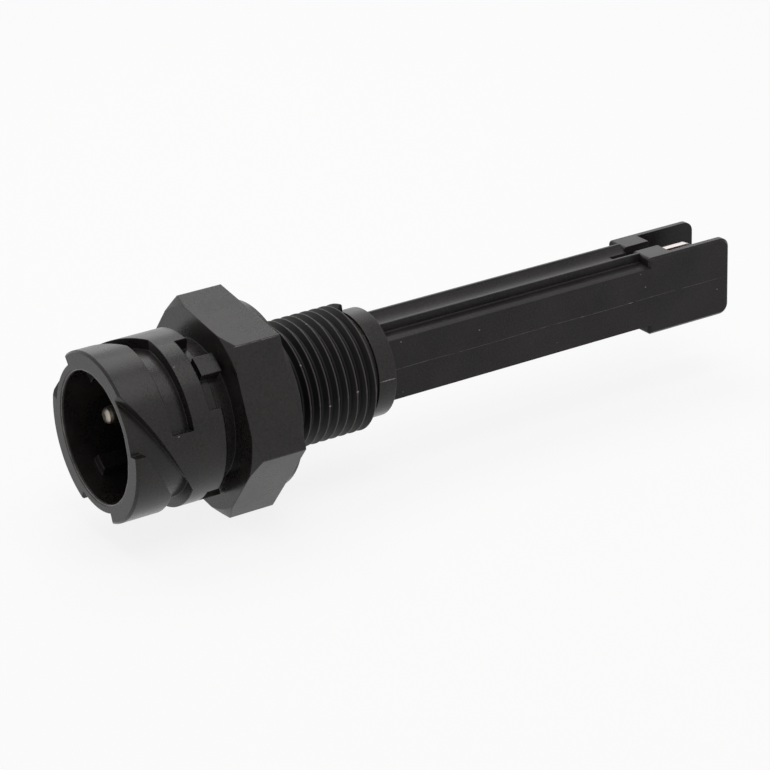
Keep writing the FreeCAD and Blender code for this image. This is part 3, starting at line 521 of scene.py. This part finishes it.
@dataclass
class ConnectorMoulding:
    """Shell, hexagon, sealing face and threaded shank, in millimetres."""

    shop: Workshop
    thread_radius: float = 9.0
    thread_depth: float = 0.81
    shank_end: float = 15.0
    thread_end: float = 15.59
    last_turn_degrees: float = 82.0
    relief_radius: float = 7.4
    core_radius: float = 7.3
    pitch: float = 1.5
    seam_degrees: float = 180.0
    seam_height: float = 0.07
    seam_slack: float = 0.1
    seam_margins: Span = (0.5, 1.0)
    upright_share: float = 0.99
    start_overlap: float = 0.02
    sharp_degrees: float = 38.0
    tolerance: float = 0.01
    segments: int = 180
    profile: tuple[tuple[float, float], ...] = (
        (0.00, 0.00), (0.05, 0.00), (0.09, 0.06), (0.38, 0.92),
        (0.44, 1.00), (0.61, 1.00), (0.67, 0.92), (0.96, 0.06),
    )
    rear_root: int = 4

    def on_ringed_shank(self, face: bmesh.types.BMFace) -> bool:
        """Tell whether a face of the solid belongs to the shank that the thread replaces.

        Args:
            face: Face of the copied solid, in metres.

        Returns:
            True on the rings, in the grooves between them and on the step behind the last.
        """
        slack = self.tolerance
        places = [(vertex.co.x / MM, math.hypot(vertex.co.y, vertex.co.z) / MM)
                  for vertex in face.verts]
        if not all(-slack < x < self.shank_end + slack for x, _ in places):
            return False
        root = self.thread_radius - self.thread_depth - 5 * slack
        on_rings = all(root < radius < self.thread_radius + slack for _, radius in places)
        at_end = all(x > self.shank_end - slack and radius > self.relief_radius - slack
                     for x, radius in places)
        return at_end or (on_rings and abs(face.normal.x) < self.upright_share)

    def build_moulding(self) -> None:
        """Copy the solid without its ringed shank, so that the thread can take its place."""
        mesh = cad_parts["connector_body"].data.copy()
        work = bmesh.new()
        work.from_mesh(mesh)
        plain = [face for face in work.faces if self.on_ringed_shank(face)]
        bmesh.ops.delete(work, geom=plain, context="FACES")
        work.to_mesh(mesh)
        work.free()
        piece = self.shop.add_piece(
            "connector_moulding", mesh, CONNECTOR_NYLON, "connector_polymer",
        )
        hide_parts("connector_body")

    def depth_at(self, x: float, degrees: float) -> float:
        """Return how far the thread lies under its crest.

        Args:
            x: Place along the shank.
            degrees: Angle round the shank.

        Returns:
            The depth under the crest.
        """
        phase = (x / self.pitch - degrees / 360) % 1.0
        knots = [*self.profile, (1.0, 0.0)]
        for (start, start_depth), (end, end_depth) in zip(knots, knots[1:]):
            if phase <= end:
                share = (phase - start) / (end - start)
                return self.thread_depth * (start_depth + share * (end_depth - start_depth))
        return 0.0

    def thread_point(self, row: int, step: int) -> Point:
        """Return one point of the thread.

        Args:
            row: Row of the profile, counted on from turn to turn.
            step: Step round the axis, from the end of the last turn.

        Returns:
            The point, kept between the sealing face and the thread's end.
        """
        turn, place = divmod(row, len(self.profile))
        along, share = self.profile[place]
        degrees = self.last_turn_degrees + 360 * step / self.segments
        raw = (turn - 1 + along + degrees / 360) * self.pitch
        x = min(max(raw, 0.0), self.thread_end)
        depth = share * self.thread_depth if x == raw else self.depth_at(x, degrees)
        radius = self.thread_radius - depth
        rear_margin, front_margin = self.seam_margins
        on_seam = abs(degrees - self.seam_degrees) < self.seam_slack and depth < self.seam_slack
        if on_seam and rear_margin < x < self.thread_end - front_margin:
            radius += self.seam_height
        return around(x, radius, degrees)

    def ring_of_points(self, places: list[float], radius: float) -> list[Point]:
        """Return a point at each step round the axis.

        Args:
            places: Place along the axis at each step.
            radius: Distance from the axis.

        Returns:
            The points, in the order of the places.
        """
        return [around(x, radius, self.last_turn_degrees + 360 * step / self.segments)
                for step, x in enumerate(places)]

    def build_thread(self) -> None:
        """Wind the thread's profile round the shank and break it off where the last turn ends.

        Behind the last turn lies the run-out groove, widest where the thread has just ended.
        A plain core, hidden inside, closes the piece.
        """
        per_turn = len(self.profile)
        last = per_turn * round(self.shank_end / self.pitch) + self.rear_root
        steps = range(self.segments + 1)
        rows = [[self.thread_point(row, step) for step in steps]
                for row in range(-per_turn, last + 1)]
        ends = [point[0] for point in rows[-1]]
        broken_turn = [row[-1] for row in rows[-per_turn - 1:]]
        start_radius = self.thread_radius + self.start_overlap
        rows.insert(0, self.ring_of_points([0.0 for _ in steps], start_radius))
        rows.insert(0, self.ring_of_points([0.0 for _ in steps], self.core_radius))
        rows.append(self.ring_of_points(ends, self.relief_radius))
        groove_ends = [max(x, self.shank_end) for x in ends]
        rows.append(self.ring_of_points(groove_ends, self.relief_radius))
        rows.append(rows[0])
        points = [point for row in rows for point in row]
        faces = []
        for row in range(len(rows) - 1):
            for step in range(self.segments):
                near = row * (self.segments + 1) + step
                far = near + self.segments + 1
                corners = (near, far, far + 1, near + 1)
                places = {tuple(round(value, 4) for value in points[corner]) for corner in corners}
                if len(places) > 2:
                    faces.append(corners)
        floor = [around(x, self.relief_radius, self.last_turn_degrees)
                 for x in (broken_turn[-1][0], self.shank_end, broken_turn[0][0])]
        first, foot = len(points), len(points) + len(broken_turn)
        faces += [tuple(range(first, foot + len(floor))), (0, foot, foot + 1)]
        points += broken_turn + floor
        mesh = mesh_from("shank_thread", points, faces, smooth=True)
        mesh.set_sharp_from_angle(angle=math.radians(self.sharp_degrees))
        self.shop.add_piece("shank_thread", mesh, SHADED_THREAD_NYLON, "connector_polymer")

    def build(self) -> None:
        """Build the moulding and its thread."""
        self.build_moulding()
        self.build_thread()


@dataclass
class StemRails:
    """The stem's upper rails and the crowned ledges beside them, in millimetres."""

    shop: Workshop
    start: float = 18.4
    end: float = 64.45
    hollow_centre: float = 8.212
    hollow_radius: float = 3.0
    inner_side: float = 1.80
    outer_side: float = 2.65
    crest: float = 6.15
    crest_rounding: float = 0.12
    foot_fillet: float = 0.15
    ledge_height: float = 4.76
    ledge_edge: float = 5.045
    crown_start: float = 3.30
    crown_radius: float = 5.09
    foot: float = 4.36
    sharp_degrees: float = 30.0
    steps: int = 6

    def section(self) -> list[Span]:
        """Return the section on the +Y side: hollow, round crest, upright wall, crowned ledge.

        Returns:
            Corners as distance from the middle and height over the axis.
        """
        crest_side = math.sqrt(self.hollow_radius ** 2 - (self.hollow_centre - self.crest) ** 2)
        hollow: list[Span] = []
        corner: list[Span] = []
        crown: list[Span] = []
        for step in range(self.steps + 1):
            share = step / self.steps
            side = self.inner_side + (crest_side - self.inner_side) * share
            drop = math.sqrt(self.hollow_radius ** 2 - side ** 2)
            hollow.append((side, self.hollow_centre - drop))
            angle = math.pi / 2 * (1 - share)
            corner.append((self.outer_side - self.crest_rounding * (1 - math.cos(angle)),
                           self.crest - self.crest_rounding * (1 - math.sin(angle))))
            reach = (self.ledge_edge - self.crown_start) * share
            drop = self.crown_radius - math.sqrt(self.crown_radius ** 2 - reach ** 2)
            crown.append((self.crown_start + reach, self.ledge_height - drop))
        wall_foot = [(self.outer_side, self.ledge_height + self.foot_fillet),
                     (self.outer_side + self.foot_fillet, self.ledge_height)]
        bottom = [(self.ledge_edge, self.foot), (self.inner_side, self.foot)]
        return hollow + corner + wall_foot + crown + bottom

    def build(self) -> None:
        """Run both sides from the collar to the fork's root blocks, as one closed mesh."""
        points: list[Point] = []
        faces: list[tuple[int, ...]] = []
        for side in (-1, 1):
            outline = [(side * across, height) for across, height in self.section()]
            first, size = len(points), len(outline)
            points += [(self.start, across, height) for across, height in outline]
            points += [(self.end, across, height) for across, height in outline]
            for corner in range(size):
                following = (corner + 1) % size
                faces.append((first + corner, first + following,
                              first + size + following, first + size + corner))
            faces.append(tuple(range(first, first + size)))
            faces.append(tuple(range(first + size, first + 2 * size)))
        mesh = mesh_from("stem_rails", points, faces, smooth=True)
        mesh.set_sharp_from_angle(angle=math.radians(self.sharp_degrees))
        self.shop.add_piece("stem_rails", mesh, STEM_NYLON, "stem_polymer")


@dataclass
class MouldMarks:
    """Parting lines, flash, a bead with a painted highlight at the socket's edge and torn specks
    on the mouldings, in millimetres.
    """

    shop: Workshop
    side: float = 5.045
    faint_line: Span = (18.5, 78.5)
    faint_run: float = 14.0
    faint_gap: float = 0.5
    faint_height: float = 0.040
    faint_width: float = 0.11
    beaded_stretch: Span = (51.0, 61.5)
    bead_run: float = 1.8
    bead_gap: float = 0.12
    bead_height: float = 0.045
    bead_width: float = 0.10
    line_step: float = 0.7
    line_sway: float = 0.04
    sway_turn: float = 0.31
    collar_line: Span = (15.75, 18.25)
    collar_radius: float = 7.79
    collar_height: float = 0.045
    collar_width: float = 0.13
    seam_degrees: float = 179.0
    corner_line: Span = (-8.1, -1.2)
    corner_run: float = 2.4
    corner_gap: float = 0.1
    corner_radius: float = 15.5
    corner_degrees: float = 129.2
    corner_height: float = 0.022
    corner_width: float = 0.10
    mouth_place: float = -24.36
    mouth_radius: float = 9.33
    mouth_bead: float = 0.10
    mouth_steps: int = 160
    mouth_sides: int = 8
    mouth_swell: float = 0.15
    swell_turn: float = 0.7
    end_swell: float = 0.25
    swell_span: Span = (0.75, 1.25)
    run_span: Span = (0.5, 1.5)
    flake_corners: int = 6
    flake_sink: float = 0.01
    flake_peak: float = 0.25
    flake_span: Span = (0.35, 0.6)
    flake_stretch: float = 1.3
    speck_span: Span = (0.16, 0.26)
    shell_speck_size: float = 0.2
    nick_size: float = 0.3
    chance: random.Random = field(default_factory=lambda: random.Random(7))
    stem_specks: tuple[Span, ...] = (
        (21.07, 3.9), (21.13, -3.63), (62.65, 4.0), (63.57, 1.83), (76.89, -1.69),
        (34.2, 2.4), (47.6, -2.9),
    )
    shell_specks: tuple[Point, ...] = ((-15.27, 11.9, 122.9), (-17.95, 11.9, 167.8))
    thread_nicks: tuple[Point, ...] = (
        (11.28, 9.0, 178.0), (3.63, 9.0, 142.0), (7.96, 9.0, 102.0), (6.80, 9.0, 184.0),
    )

    def ridge(
        self, spine: list[Point], outward: Point, height: float, width: float
    ) -> MeshParts:
        """Make a low ridge with a three-sided section that fades out at both ends.

        Args:
            spine: Points on the surface along the ridge.
            outward: Direction out of the surface.
            height: Height of the ridge in its middle.
            width: Width of its foot.

        Returns:
            The points and the faces of the ridge.
        """
        out = Vector(outward).normalized()
        across = out.cross(Vector((1.0, 0.0, 0.0)))
        points: list[Point] = []
        for step, place in enumerate(spine):
            at_end = step in (0, len(spine) - 1)
            swell = self.end_swell if at_end else self.chance.uniform(*self.swell_span)
            foot = Vector(place)
            half = across * width * swell / 2
            points += [tuple(foot - half), tuple(foot + out * height * swell), tuple(foot + half)]
        faces: list[tuple[int, ...]] = []
        for low in range(0, len(points) - 3, 3):
            faces += [(low, low + 1, low + 4, low + 3), (low + 1, low + 2, low + 5, low + 4),
                      (low + 2, low, low + 3, low + 5)]
        faces += [(0, 1, 2), (len(points) - 1, len(points) - 2, len(points) - 3)]
        return points, faces

    def runs(self, line: Span, length: float, gap: float) -> list[Span]:
        """Split a line into short runs of about the stated length, with gaps between them.

        Args:
            line: Start and end of the line along the probe.
            length: Usual length of a run.
            gap: Usual gap between two runs.

        Returns:
            The start and the end of each run.
        """
        places: list[Span] = []
        at, end = line
        while at < end:
            stop = min(at + length * self.chance.uniform(*self.run_span), end)
            places.append((at, stop))
            at = stop + gap * self.chance.uniform(*self.run_span)
        return places

    def add_marks(self, name: str, marks: list[MeshParts], finish: Finish, slot: str) -> None:
        """Join several marks to one piece.

        Args:
            name: Name of the piece.
            marks: Points and faces of each mark.
            finish: Finish of the piece.
            slot: Not used; passed on to add_piece.
        """
        points: list[Point] = []
        faces: list[tuple[int, ...]] = []
        for mark_points, mark_faces in marks:
            faces += [tuple(corner + len(points) for corner in face) for face in mark_faces]
            points += mark_points
        self.shop.add_piece(name, mesh_from(name, points, faces, smooth=False), finish, slot)

    def side_line(self, side: int, run: Span) -> list[Point]:
        """Return points along the middle of one flat side of the stem.

        Args:
            side: Minus one for the -Y side, one for the +Y side.
            run: Start and end along the probe.

        Returns:
            The points, swaying a little up and down.
        """
        start, end = run
        steps = max(2, round((end - start) / self.line_step))
        places = [start + (end - start) * step / steps for step in range(steps + 1)]
        return [(x, side * self.side, self.line_sway * math.sin(x * self.sway_turn))
                for x in places]

    def build_stem_lines(self) -> None:
        """Run the parting line along both flat sides, with beads of flash where it is rough."""
        for side, label in ((-1, "near"), (1, "far")):
            out = (0.0, float(side), 0.0)
            faint = [
                self.ridge(self.side_line(side, run), out, self.faint_height, self.faint_width)
                for run in self.runs(self.faint_line, self.faint_run, self.faint_gap)
            ]
            self.add_marks(f"stem_parting_line_{label}", faint, PARTING_NYLON, "stem_polymer")
            # The beads are real flash; their pale colour is also a painted highlight where they
            # catch the light from above
            beads = [
                self.ridge(self.side_line(side, run), out, self.bead_height, self.bead_width)
                for run in self.runs(self.beaded_stretch, self.bead_run, self.bead_gap)
            ]
            self.add_marks(f"stem_flash_beads_{label}", beads, TORN_AND_HIGHLIGHT_NYLON, "stem_polymer")

    def build_round_flash(self) -> None:
        """Leave flash across the collar and along the hexagon's upper near corner."""
        spine = self.straight_spine(self.collar_line, 10, self.collar_radius, self.seam_degrees)
        outward = around(0.0, 1.0, self.seam_degrees)
        marks = [self.ridge(spine, outward, self.collar_height, self.collar_width)]
        self.add_marks("collar_flash", marks, TORN_AND_HIGHLIGHT_NYLON, "connector_polymer")
        outward = around(0.0, 1.0, self.corner_degrees)
        marks = []
        for run in self.runs(self.corner_line, self.corner_run, self.corner_gap):
            spine = self.straight_spine(run, 5, self.corner_radius, self.corner_degrees)
            marks.append(self.ridge(spine, outward, self.corner_height, self.corner_width))
        # The corner flash is a real ridge, coloured pale as a painted highlight along the lit
        # corner
        self.add_marks("hexagon_corner_flash", marks, EDGE_HIGHLIGHT_NYLON, "connector_polymer")

    def straight_spine(self, run: Span, steps: int, radius: float, degrees: float) -> list[Point]:
        """Return points along the probe at one radius and one angle round its axis.

        Args:
            run: Start and end along the probe.
            steps: Number of stretches between the points.
            radius: Distance from the axis.
            degrees: Angle round the axis.

        Returns:
            The points, from start to end.
        """
        start, end = run
        return [around(start + (end - start) * step / steps, radius, degrees)
                for step in range(steps + 1)]

    def build_mouth_edge(self) -> None:
        """Lay a thin bead round the edge of the socket's bore, coloured pale as a painted
        highlight where the rounded edge catches the light.
        """
        steps, sides = self.mouth_steps, self.mouth_sides
        points: list[Point] = []
        for step in range(steps):
            swell = self.mouth_bead * (1 + self.mouth_swell * math.sin(step * self.swell_turn))
            for corner in range(sides):
                angle = math.tau * corner / sides
                x = self.mouth_place + swell * math.cos(angle)
                radius = self.mouth_radius + swell * math.sin(angle)
                points.append(around(x, radius, 360 * step / steps))
        faces: list[tuple[int, ...]] = []
        for step in range(steps):
            near, far = step * sides, (step + 1) % steps * sides
            for corner in range(sides):
                following = (corner + 1) % sides
                faces.append((near + corner, near + following, far + following, far + corner))
        mesh = mesh_from("socket_mouth_edge", points, faces, smooth=True)
        self.shop.add_piece("socket_mouth_edge", mesh, EDGE_HIGHLIGHT_NYLON, "connector_polymer")

    def flake(self, centre: Point, outward: Point, size: float) -> MeshParts:
        """Make the points and faces of one low, uneven flake.

        Args:
            centre: Middle of its foot on the surface.
            outward: Direction out of the surface.
            size: Usual width of the flake.

        Returns:
            The points and the faces of the flake.
        """
        normal = Vector(outward).normalized()
        across = normal.cross(Vector((1.0, 0.0, 0.0))).normalized()
        along = across.cross(normal)
        origin = Vector(centre) - normal * self.flake_sink
        points = [tuple(origin + normal * size * self.flake_peak)]
        sides = self.flake_corners
        for corner in range(sides):
            angle = math.tau * corner / sides
            reach = size * self.chance.uniform(*self.flake_span)
            long_part = along * math.cos(angle) * reach * self.flake_stretch
            points.append(tuple(origin + (long_part + across * math.sin(angle) * reach)))
        faces = [(0, corner + 1, (corner + 1) % sides + 1) for corner in range(sides)]
        faces.append(tuple(range(1, len(points))))
        return points, faces

    def build_specks(self) -> None:
        """Scatter the torn specks on the stem and the shell, and the nicks in the crests."""
        marks = [
            self.flake((x, -self.side, z), (0.0, -1.0, 0.0), self.chance.uniform(*self.speck_span))
            for x, z in self.stem_specks
        ]
        self.add_marks("stem_specks", marks, TORN_AND_HIGHLIGHT_NYLON, "stem_polymer")
        for name, places, size in (("shell_specks", self.shell_specks, self.shell_speck_size),
                                   ("thread_nicks", self.thread_nicks, self.nick_size)):
            marks = [self.flake(around(x, radius, degrees), around(0.0, 1.0, degrees), size)
                     for x, radius, degrees in places]
            self.add_marks(name, marks, TORN_AND_HIGHLIGHT_NYLON, "connector_polymer")

    def build(self) -> None:
        """Build every mark."""
        self.build_stem_lines()
        self.build_round_flash()
        self.build_mouth_edge()
        self.build_specks()


@dataclass
class SealedInterior:
    """Finishes of the carried-over nodes, by node."""

    shop: Workshop
    finishes: dict[str, Finish] = field(default_factory=lambda: {
        "probe_stem": STEM_NYLON,
        "pin_carrier": CARRIER_POLYESTER,
        "contact_pin_signal": TINNED_BRASS,
        "contact_pin_ground": TINNED_BRASS,
        "electrode_blade": ROLLED_STAINLESS,
        "pin_seals": NITRILE_RUBBER,
        "stem_seal_ring": NITRILE_RUBBER,
        "blade_seal": NITRILE_RUBBER,
        "lead_strip_signal": ROLLED_BRASS,
        "lead_strip_ground": ROLLED_BRASS,
        "electrode_lead": ROLLED_BRASS,
        "potting_compound": CAST_EPOXY,
        "circuit_board": SCREENED_LAMINATE,
        "level_chip": CASE_EPOXY,
        "switch_transistor": CASE_EPOXY,
        "polarity_diode": CASE_EPOXY,
        "surge_varistor": DIPPED_LACQUER,
        "filter_capacitors": FIRED_CERAMIC,
        "chip_resistors": CASE_EPOXY,
        "solder_joints": REFLOWED_SOLDER,
        "connector_body": CONNECTOR_NYLON,
    })

    def build(self) -> None:
        """Dress every node."""
        for node, finish in self.finishes.items():
            self.shop.dress_node(node, finish)


@dataclass
class Studio:
    """Pale floor, soft light and the camera of the photograph, in millimetres."""

    floor_level: float = -14.9
    floor_size: float = 1400.0
    floor_middle: float = 25.0
    floor_clouds_per_metre: float = 6.0
    floor_dark_hex: str = "f6f6f5"
    floor_light_hex: str = "fafaf9"
    floor_camera_share: float = 0.85
    world_strength: float = 0.30
    aim: Point = (20.0, 0.0, 0.0)
    camera_azimuth: float = -32.34
    camera_elevation: float = 23.16
    camera_roll: float = -2.02
    camera_right: float = 18.893
    camera_up: float = 1.369
    camera_distance: float = 408.72
    camera_offset: float = -1.0
    focal_pixels: float = 3000.0
    frame_pixels: float = 770.0
    sensor_width: float = 36.0
    clip_start: float = 10.0
    lamps: tuple[tuple[str, Point, float, float, float], ...] = (
        ("rear_overhead_softbox", (40.0, 190.0, 330.0), 300.0, 200.0, 0.45),
        ("front_overhead_softbox", (20.0, -100.0, 350.0), 260.0, 230.0, 0.46),
        ("rear_rim", (232.0, 272.0, 137.0), 340.0, 120.0, 0.11),
    )

    def build_floor(self) -> None:
        """Lay the pale floor, which keeps the shadow and reads as white to the camera."""
        half = self.floor_size / 2
        corners = [(-half, -half), (half, -half), (half, half), (-half, half)]
        points = [(x + self.floor_middle, y, self.floor_level) for x, y in corners]
        mesh = mesh_from("studio_floor", points, [(0, 1, 2, 3)], smooth=False)
        floor = bpy.data.objects.new("studio_floor", mesh)
        bpy.context.scene.collection.objects.link(floor)
        material = bpy.data.materials.new("painted_studio_floor")
        material.use_nodes = True
        tree = material.node_tree
        tree.nodes.clear()
        place = add_node(tree, "ShaderNodeTexCoord")
        cloud = add_node(
            tree, "ShaderNodeTexNoise", {"Scale": self.floor_clouds_per_metre, "Detail": 2.0},
            {"Vector": place.outputs["Object"]},
        )
        tone = add_node(
            tree, "ShaderNodeMix",
            {"data_type": "RGBA", 6: linear(self.floor_dark_hex), 7: linear(self.floor_light_hex)},
            {0: cloud.outputs[0]},
        )
        paint = add_node(tree, "ShaderNodeBsdfDiffuse", links={"Color": tone.outputs[2]})
        white = {"Color": (1.0, 1.0, 1.0, 1.0), "Strength": 1.0}
        glow = add_node(tree, "ShaderNodeEmission", white)
        blend = add_node(tree, "ShaderNodeMixShader", links={
            0: self.seen_directly(tree, self.floor_camera_share),
            1: paint.outputs[0], 2: glow.outputs[0],
        })
        add_node(tree, "ShaderNodeOutputMaterial", links={"Surface": blend.outputs[0]})
        mesh.materials.append(material)
        floor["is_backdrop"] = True

    def seen_directly(
        self, tree: bpy.types.NodeTree, camera_share: float
    ) -> bpy.types.NodeSocket:
        """Tell the rays that see the white surroundings from those that light the part.

        Args:
            tree: Node tree of the floor or the world.
            camera_share: Value for camera rays, below one where a shadow has to show.

        Returns:
            The share for camera rays, one for glossy and transmitted rays, zero for the rest.
        """
        path = add_node(tree, "ShaderNodeLightPath")
        camera = add_node(tree, "ShaderNodeMath", {"operation": "MULTIPLY", 1: camera_share},
                          {0: path.outputs["Is Camera Ray"]})
        first = add_node(tree, "ShaderNodeMath", {"operation": "MAXIMUM"},
                         {0: camera.outputs[0], 1: path.outputs["Is Glossy Ray"]})
        both = add_node(tree, "ShaderNodeMath", {"operation": "MAXIMUM"},
                        {0: first.outputs[0], 1: path.outputs["Is Transmission Ray"]})
        return both.outputs[0]

    def build_world(self) -> None:
        """Surround the part with white, at a plain level of light."""
        world = bpy.data.worlds.new("white_studio")
        world.use_nodes = True
        tree = world.node_tree
        tree.nodes.clear()
        strength = add_node(
            tree, "ShaderNodeMapRange", {"To Min": self.world_strength, "To Max": 1.0},
            {"Value": self.seen_directly(tree, 1.0)},
        )
        sky = add_node(tree, "ShaderNodeBackground", {"Color": (1.0, 1.0, 1.0, 1.0)},
                       {"Strength": strength.outputs["Result"]})
        add_node(tree, "ShaderNodeOutputWorld", links={"Surface": sky.outputs[0]})
        bpy.context.scene.world = world

    def build_lamps(self) -> None:
        """Hang the softboxes, each aimed at the middle of the part."""
        target = Vector(self.aim) * MM
        for name, place, width, height, watts in self.lamps:
            light = bpy.data.lights.new(name, "AREA")
            light.shape = "RECTANGLE"
            light.size = width * MM
            light.size_y = height * MM
            light.energy = watts
            lamp = bpy.data.objects.new(name, light)
            lamp.location = Vector(place) * MM
            lamp.rotation_euler = (target - lamp.location).to_track_quat("-Z", "Y").to_euler()
            bpy.context.scene.collection.objects.link(lamp)

    def build_camera(self) -> None:
        """Set the camera where the photograph was taken from."""
        azimuth = math.radians(self.camera_azimuth)
        elevation = math.radians(self.camera_elevation)
        roll = math.radians(self.camera_roll)
        back = Vector((math.sin(azimuth) * math.cos(elevation),
                       -math.cos(azimuth) * math.cos(elevation), math.sin(elevation)))
        level = Vector((math.cos(azimuth), math.sin(azimuth), 0.0))
        rise = back.cross(level)
        right = level * math.cos(roll) + rise * math.sin(roll)
        up = rise * math.cos(roll) - level * math.sin(roll)
        place = right * self.camera_right + up * self.camera_up + back * self.camera_distance
        place += Vector((self.camera_offset, 0.0, 0.0))
        lens = bpy.data.cameras.new("photo_camera")
        lens.sensor_width = self.sensor_width
        lens.lens = self.focal_pixels / self.frame_pixels * self.sensor_width
        lens.clip_start = self.clip_start * MM
        lens.dof.use_dof = False
        camera = bpy.data.objects.new("photo_camera", lens)
        turn = Matrix((right, up, back)).transposed().to_4x4()
        camera.matrix_world = Matrix.Translation(place * MM) @ turn
        bpy.context.scene.collection.objects.link(camera)
        bpy.context.scene.camera = camera

    def build(self) -> None:
        """Build the whole studio."""
        self.build_floor()
        self.build_world()
        self.build_lamps()
        self.build_camera()
        bpy.context.scene.view_settings.view_transform = "Standard"


def box_numbers() -> list[list[float]]:
    """Measure what shows of the part.

    Returns:
        Its lowest and its highest corner, in metres.
    """
    bpy.context.view_layer.update()
    return [list(corner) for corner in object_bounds()]


def main() -> None:
    """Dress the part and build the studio."""
    logging.basicConfig(level=logging.INFO, format="%(name)s: %(message)s")
    solid_box = box_numbers()
    shop = Workshop()
    SealedInterior(shop).build()
    ConnectorMoulding(shop).build()
    StemRails(shop).build()
    MouldMarks(shop).build()
    Studio().build()
    {"cad": solid_box, "visual": box_numbers()}


if __name__ == "__main__":
    main()
